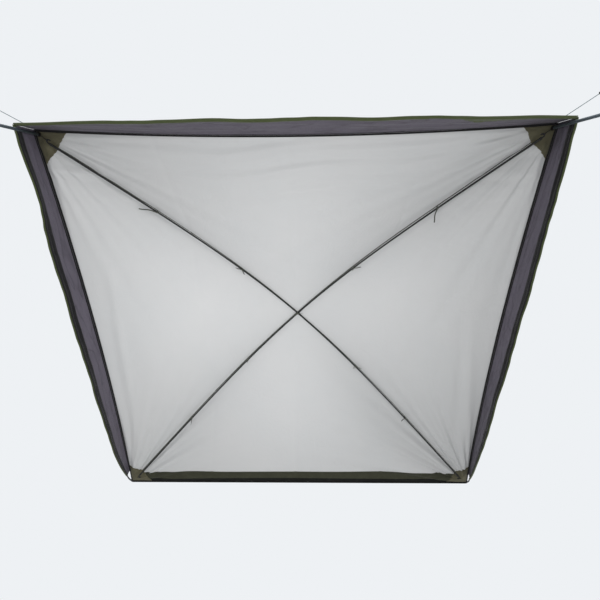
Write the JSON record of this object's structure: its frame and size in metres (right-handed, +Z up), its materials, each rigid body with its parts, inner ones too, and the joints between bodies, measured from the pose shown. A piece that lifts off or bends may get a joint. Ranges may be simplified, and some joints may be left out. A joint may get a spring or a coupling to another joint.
{
  "type": "sun awning",
  "caption": "Square dome sun awning held along one edge, with crossed arched poles, hanging valances and telescopic uprights at the outer corners.",
  "frame": {"origin": "middle of the welt in the held edge", "axes": "+Y out of the awning past the held edge, +Z up, +X along the held edge"},
  "size_m": [2.7174, 2.4664, 2.5047],
  "materials": {
    "silver_cloth": "silver coated polyester, satin",
    "olive_cloth": "woven polyester, matt",
    "dark_cloth": "heavy coated cloth, matt",
    "black_webbing": "woven webbing",
    "black_cord": "braided cord",
    "grey_ribbon": "woven ribbon",
    "pole_rod": "pultruded fibreglass, satin",
    "black_plastic": "moulded nylon",
    "aluminium_tube": "anodised, satin",
    "eyelet_metal": "dark plated",
    "guy_cord": "braided cord",
    "welt_cord": "twisted rope core",
    "foot_rubber": "moulded rubber"
  },
  "bodies": {
    "held_edge": {"edge_welt": "welt_cord"},
    "canopy": {"front_panel": "silver_cloth", "left_panel": "silver_cloth", "right_panel": "silver_cloth", "mount_panel": "silver_cloth", "front_valance": "olive_cloth", "left_valance": "olive_cloth", "right_valance": "olive_cloth", "left_hem_webbing": "black_webbing", "right_hem_webbing": "black_webbing", "seam_binding": "black_webbing", "mount_strip": "olive_cloth", "front_left_patch": "dark_cloth", "front_right_patch": "dark_cloth", "mount_left_patch": "dark_cloth", "mount_right_patch": "dark_cloth", "upper_pole_section_1": "pole_rod", "upper_pole_section_2": "pole_rod", "upper_pole_section_3": "pole_rod", "upper_pole_section_4": "pole_rod", "lower_pole_section_1": "pole_rod", "lower_pole_section_2": "pole_rod", "lower_pole_section_3": "pole_rod", "lower_pole_section_4": "pole_rod", "upper_pole_front_tip": "black_plastic", "upper_pole_mount_tip": "black_plastic", "lower_pole_front_tip": "black_plastic", "lower_pole_mount_tip": "black_plastic", "upper_pole_shock_cord": "black_cord", "lower_pole_shock_cord": "black_cord", "upper_pole_tie_1": "grey_ribbon", "upper_pole_tie_2": "grey_ribbon", "upper_pole_tie_4": "grey_ribbon", "upper_pole_tie_5": "grey_ribbon", "lower_pole_tie_1": "grey_ribbon", "lower_pole_tie_2": "grey_ribbon", "lower_pole_tie_4": "grey_ribbon", "lower_pole_tie_5": "grey_ribbon", "crown_tie": "grey_ribbon", "left_grommet": "eyelet_metal", "right_grommet": "eyelet_metal", "left_corner_cord": "black_cord", "right_corner_cord": "black_cord", "left_guy_line": "guy_cord", "right_guy_line": "guy_cord"},
    "left_upright": {"left_spigot": "black_plastic", "left_upper_tube": "aluminium_tube"},
    "left_lower_pole": {"left_lower_tube": "aluminium_tube", "left_clamp_bush": "black_plastic", "left_foot": "foot_rubber"},
    "left_collar": {"left_lock_collar": "black_plastic"},
    "left_runner": {"left_guy_runner": "black_plastic"},
    "right_upright": {"right_spigot": "black_plastic", "right_upper_tube": "aluminium_tube"},
    "right_lower_pole": {"right_lower_tube": "aluminium_tube", "right_clamp_bush": "black_plastic", "right_foot": "foot_rubber"},
    "right_collar": {"right_lock_collar": "black_plastic"},
    "right_runner": {"right_guy_runner": "black_plastic"}
  },
  "joints": [
    {"name": "canopy_tilt", "type": "hinge", "parent": "held_edge", "child": "canopy", "pos_m": [0, 0, 0], "axis": [1, 0, 0], "range_deg": [-10, 15]},
    {"name": "left_upright_lean", "type": "hinge", "parent": "canopy", "child": "left_upright", "pos_m": [-1.228, -2.298, -0.0003], "axis": [1, 0, 0], "range_deg": [-4, 15]},
    {"name": "left_telescope", "type": "slide", "parent": "left_upright", "child": "left_lower_pole", "axis": [0, 0, 1], "range_m": [-0.08, 0.75]},
    {"name": "left_lock_twist", "type": "hinge", "parent": "left_lower_pole", "child": "left_collar", "pos_m": [-1.228, -2.298, -1], "axis": [0, 0, 1], "range_deg": [0, 90]},
    {"name": "left_runner_slide", "type": "slide", "parent": "canopy", "child": "left_runner", "axis": [-0.4233, -0.4396, -0.7922], "range_m": [-0.02, 0.02]},
    {"name": "right_upright_lean", "type": "hinge", "parent": "canopy", "child": "right_upright", "pos_m": [1.228, -2.298, -0.0003], "axis": [1, 0, 0], "range_deg": [-4, 15]},
    {"name": "right_telescope", "type": "slide", "parent": "right_upright", "child": "right_lower_pole", "axis": [0, 0, 1], "range_m": [-0.08, 0.75]},
    {"name": "right_lock_twist", "type": "hinge", "parent": "right_lower_pole", "child": "right_collar", "pos_m": [1.228, -2.298, -1], "axis": [0, 0, 1], "range_deg": [0, 90]},
    {"name": "right_runner_slide", "type": "slide", "parent": "canopy", "child": "right_runner", "axis": [0.3587, -0.4937, -0.7922], "range_m": [-0.02, 0.02]}
  ]
}
